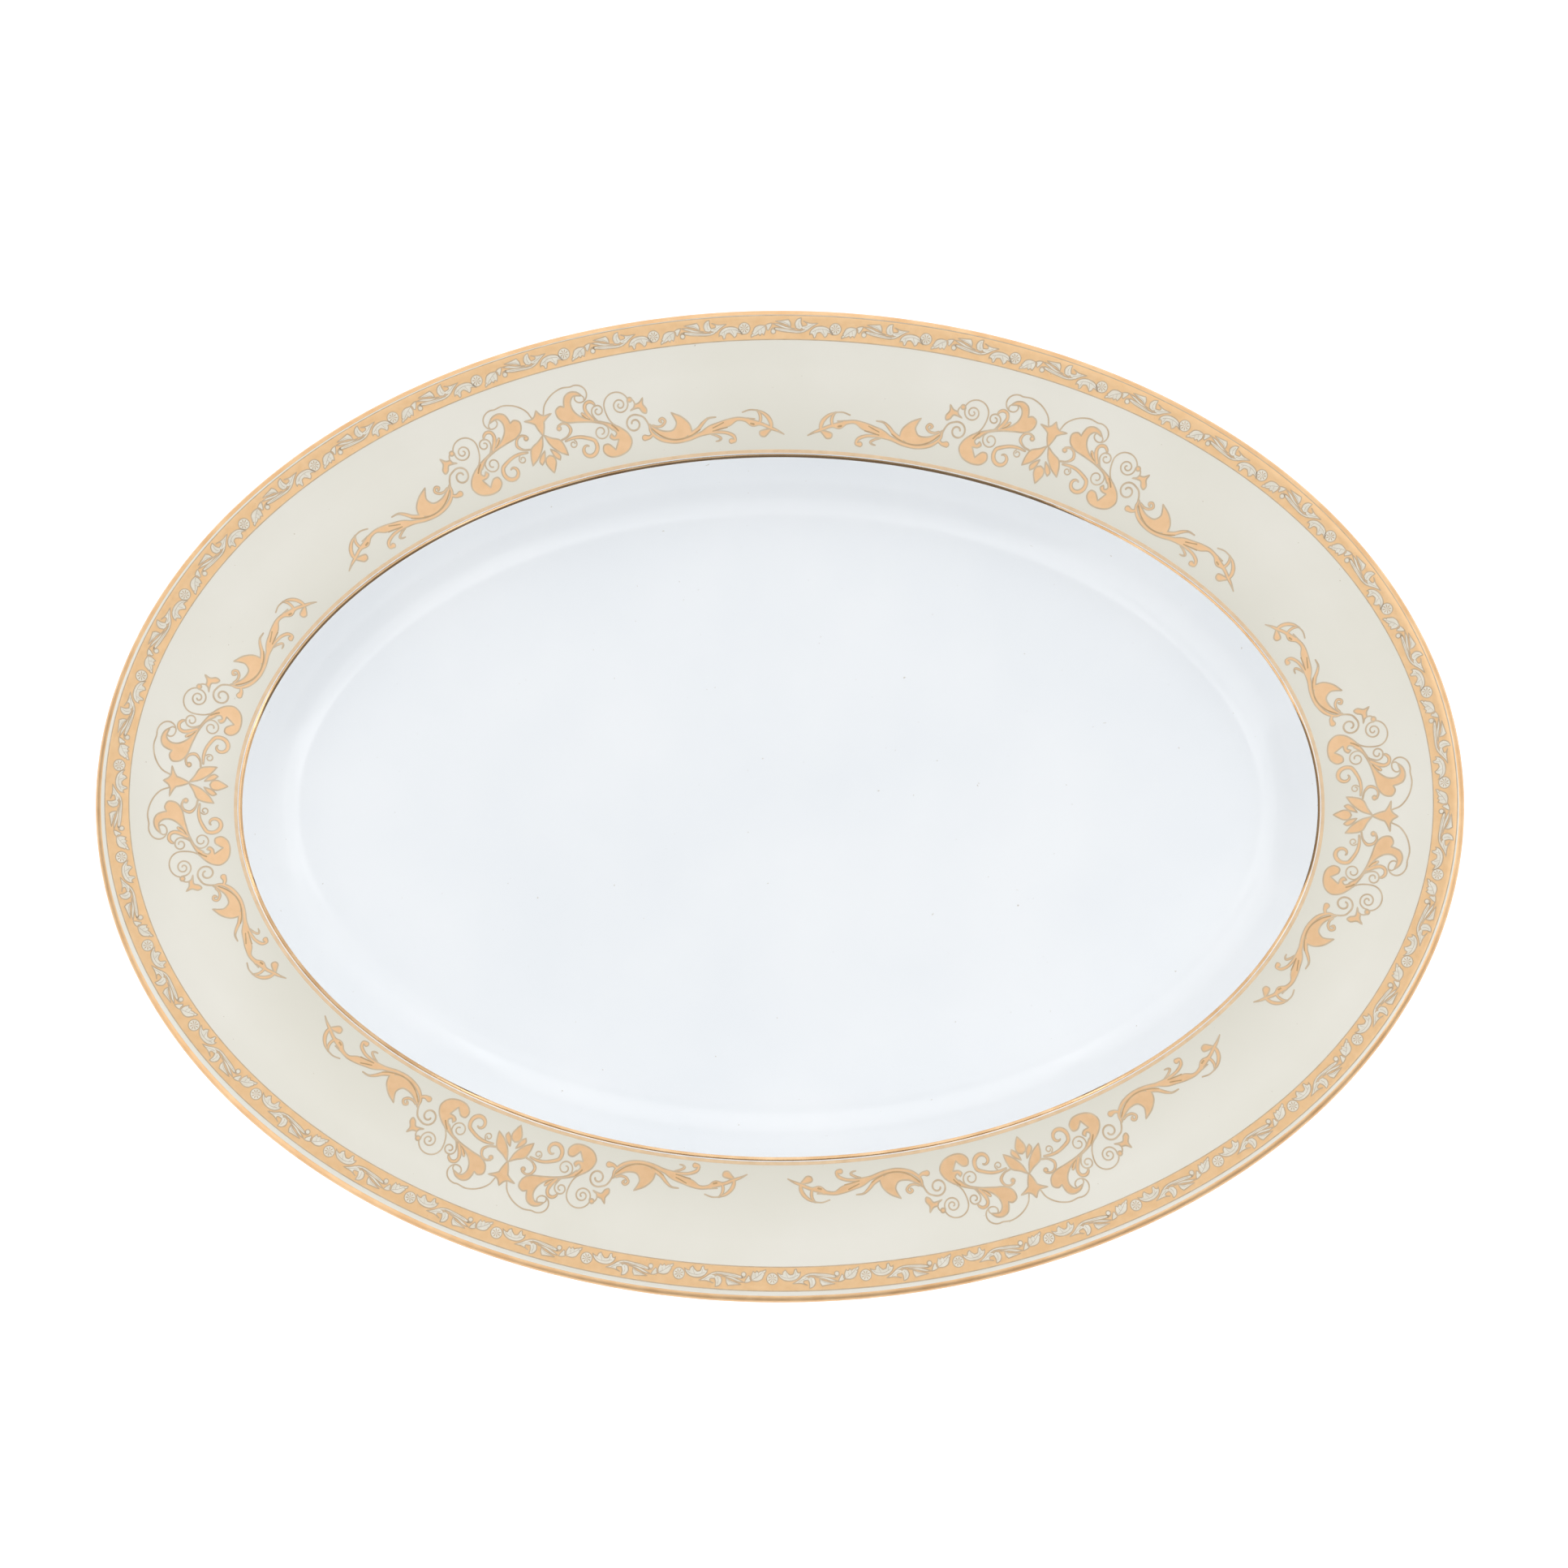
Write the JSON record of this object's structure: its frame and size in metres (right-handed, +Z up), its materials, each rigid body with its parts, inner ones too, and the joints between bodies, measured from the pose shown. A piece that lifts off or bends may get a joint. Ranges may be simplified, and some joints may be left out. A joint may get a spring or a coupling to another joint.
{
  "type": "serving platter",
  "caption": "Oval china serving platter with a deep well, a wide cream rim, gold scrollwork, an ornamented gold border and a gilt edge.",
  "frame": {"origin": "centre of the oval, on the plane that the foot ring stands on", "axes": "+X along the length, +Y across the width, +Z up out of the well"},
  "size_m": [0.3602, 0.2612, 0.0303],
  "materials": {
    "porcelain": "fine white china",
    "bare_porcelain": "unglazed, ground smooth",
    "clear_glaze": "clear glossy glaze",
    "cream_enamel": "glossy cream enamel",
    "matt_gold": "satin etched gold",
    "bright_gold": "burnished gold",
    "scroll_gold": "satin gold, outlined in grey-brown",
    "pale_print": "pale grey raised enamel",
    "grey_print": "grey-brown printed line"
  },
  "bodies": {
    "root": {"platter_body": "porcelain", "foot_ring": "bare_porcelain", "well_glaze": "clear_glaze", "underside_glaze": "clear_glaze", "rim_enamel": "cream_enamel", "gilt_edge": "bright_gold", "border_ground": "matt_gold", "border_line_outer": "grey_print", "border_line_inner": "grey_print", "border_rosettes": "pale_print", "border_leaves": "pale_print", "border_curls": "pale_print", "border_scrolls": "pale_print", "border_crescents": "pale_print", "verge_line_matte": "matt_gold", "verge_line_bright": "bright_gold", "scroll_motif_1": "scroll_gold", "scroll_motif_2": "scroll_gold", "scroll_motif_3": "scroll_gold", "scroll_motif_4": "scroll_gold", "scroll_motif_5": "scroll_gold", "scroll_motif_6": "scroll_gold"}
  },
  "joints": []
}
